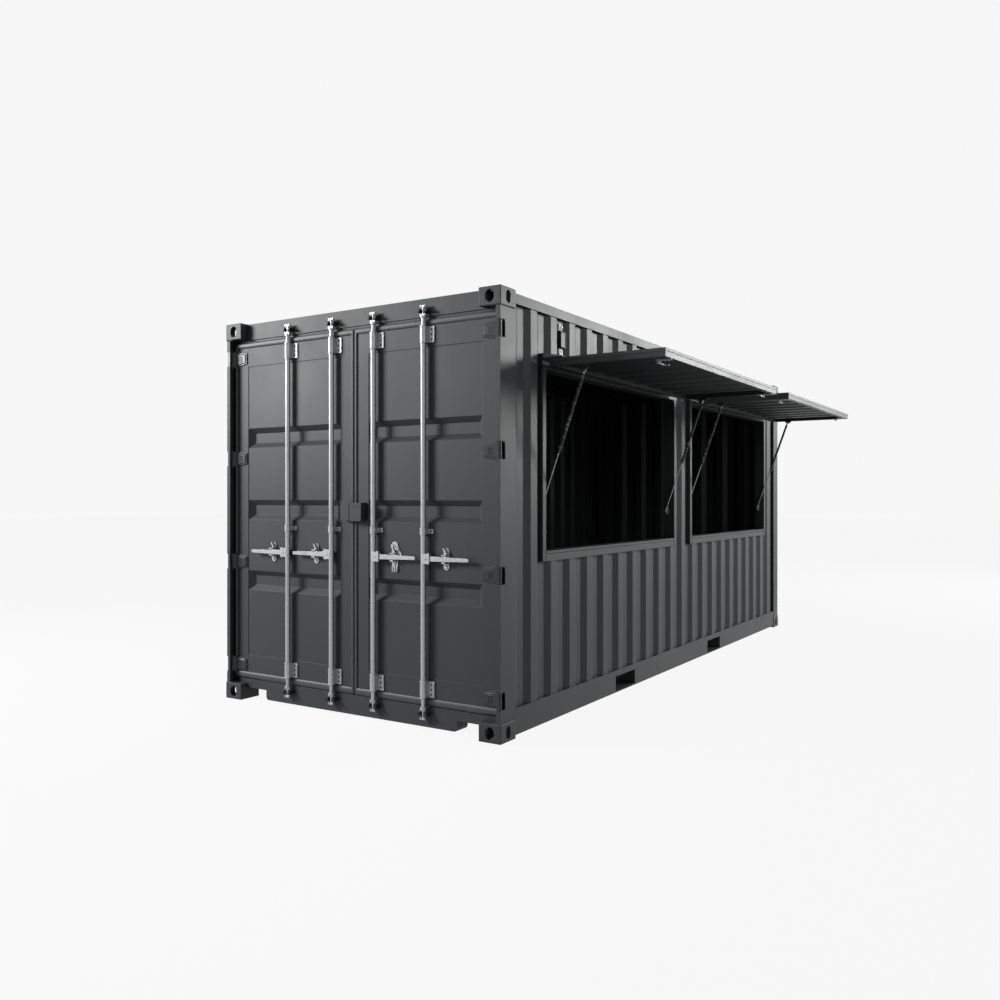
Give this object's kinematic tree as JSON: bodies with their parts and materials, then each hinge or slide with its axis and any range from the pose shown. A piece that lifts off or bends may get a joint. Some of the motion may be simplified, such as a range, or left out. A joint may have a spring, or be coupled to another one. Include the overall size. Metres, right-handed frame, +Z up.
{
  "type": "shipping container cabin",
  "caption": "Steel freight container made into a serving cabin, with doors at one end and flaps held up over wide side hatches.",
  "frame": {"origin": "on the ground under the middle of the base frame", "axes": "+X from the door end to the closed end, -Y out of the hatch side, +Z up"},
  "size_m": [6.058, 3.308, 2.791],
  "materials": {
    "container_paint": "satin anthracite container paint",
    "galvanised": "hot-dip galvanised",
    "rubber": "dark grey door seal",
    "plywood": "sealed plywood floor",
    "strut_black": "black gas cylinder",
    "polished_rod": "polished rod"
  },
  "bodies": {
    "container": {"corner_castings_bottom": "container_paint", "corner_castings_top": "container_paint", "door_posts": "container_paint", "rear_posts": "container_paint", "door_header": "container_paint", "door_sill": "container_paint", "rear_rails": "container_paint", "top_side_rails": "container_paint", "bottom_side_rails": "container_paint", "cross_members": "container_paint", "fork_pocket_plates": "container_paint", "floor_board": "plywood", "roof": "container_paint", "wall_left": "container_paint", "wall_rear": "container_paint", "wall_right_piers": "container_paint", "wall_right_lower": "container_paint", "wall_right_upper": "container_paint", "hatch_jambs": "container_paint", "hatch_sills": "container_paint", "hatch_heads": "container_paint", "hinge_pins": "galvanised", "cam_keepers": "galvanised", "vents": "container_paint"},
    "leaf_right": {"door_frame_right": "container_paint", "door_panel_right": "container_paint", "door_gasket_right": "rubber", "door_hinges_right": "container_paint", "bar_fittings_right": "galvanised", "lock_box_right": "container_paint"},
    "bar_right_inner": {"lock_bar_right_inner": "galvanised"},
    "bar_right_outer": {"lock_bar_right_outer": "galvanised"},
    "leaf_left": {"door_frame_left": "container_paint", "door_panel_left": "container_paint", "door_gasket_left": "rubber", "door_hinges_left": "container_paint", "bar_fittings_left": "galvanised", "lock_box_left": "container_paint"},
    "bar_left_inner": {"lock_bar_left_inner": "galvanised"},
    "bar_left_outer": {"lock_bar_left_outer": "galvanised"},
    "flap_front": {"flap_frame_front": "container_paint", "flap_sheet_front": "container_paint", "flap_latches_front": "galvanised"},
    "cylinders_front": {"strut_cylinders_front": "strut_black"},
    "rods_front": {"strut_rods_front": "polished_rod"},
    "flap_rear": {"flap_frame_rear": "container_paint", "flap_sheet_rear": "container_paint", "flap_latches_rear": "galvanised"},
    "cylinders_rear": {"strut_cylinders_rear": "strut_black"},
    "rods_rear": {"strut_rods_rear": "polished_rod"}
  },
  "joints": [
    {"name": "door_right_hinge", "type": "hinge", "parent": "container", "child": "leaf_right", "pos_m": [-3.009, -1.199, 1.4], "axis": [0, 0, 1], "range_deg": [0, 195]},
    {"name": "door_left_hinge", "type": "hinge", "parent": "container", "child": "leaf_left", "pos_m": [-3.009, 1.199, 1.4], "axis": [0, 0, -1], "range_deg": [0, 255]},
    {"name": "bar_right_inner_turn", "type": "hinge", "parent": "leaf_right", "child": "bar_right_inner", "pos_m": [-2.996, -0.188, 1.106], "axis": [0, 0, 1], "range_deg": [-90, 0]},
    {"name": "bar_right_outer_turn", "type": "hinge", "parent": "leaf_right", "child": "bar_right_outer", "pos_m": [-2.996, -0.608, 1.106], "axis": [0, 0, 1], "range_deg": [-90, 0]},
    {"name": "bar_left_inner_turn", "type": "hinge", "parent": "leaf_left", "child": "bar_left_inner", "pos_m": [-2.996, 0.188, 1.106], "axis": [0, 0, -1], "range_deg": [-90, 0]},
    {"name": "bar_left_outer_turn", "type": "hinge", "parent": "leaf_left", "child": "bar_left_outer", "pos_m": [-2.996, 0.608, 1.106], "axis": [0, 0, -1], "range_deg": [-90, 0]},
    {"name": "flap_front_hinge", "type": "hinge", "parent": "container", "child": "flap_front", "pos_m": [-1.3765, -1.283, 2.4], "axis": [1, 0, 0], "range_deg": [0, 90]},
    {"name": "strut_front_pivot", "type": "hinge", "parent": "flap_front", "child": "cylinders_front", "pos_m": [-1.3765, -1.484, 2.32], "axis": [1, 0, 0], "range_deg": [-106.42, 0.5]},
    {"name": "strut_front_slide", "type": "slide", "parent": "cylinders_front", "child": "rods_front", "axis": [0, -0.3373, 0.9414], "range_m": [-0.001, 0.17841]},
    {"name": "flap_rear_hinge", "type": "hinge", "parent": "container", "child": "flap_rear", "pos_m": [1.3765, -1.283, 2.4], "axis": [1, 0, 0], "range_deg": [0, 90]},
    {"name": "strut_rear_pivot", "type": "hinge", "parent": "flap_rear", "child": "cylinders_rear", "pos_m": [1.3765, -1.484, 2.32], "axis": [1, 0, 0], "range_deg": [-106.42, 0.5]},
    {"name": "strut_rear_slide", "type": "slide", "parent": "cylinders_rear", "child": "rods_rear", "axis": [0, -0.3373, 0.9414], "range_m": [-0.001, 0.17841]}
  ],
  "couplings": [
    {"joint": "strut_front_pivot", "follows": "flap_front_hinge", "ratio": -1.1768},
    {"joint": "strut_front_slide", "follows": "flap_front_hinge", "m_per_rad": 0.11294},
    {"joint": "strut_rear_pivot", "follows": "flap_rear_hinge", "ratio": -1.1768},
    {"joint": "strut_rear_slide", "follows": "flap_rear_hinge", "m_per_rad": 0.11294}
  ]
}
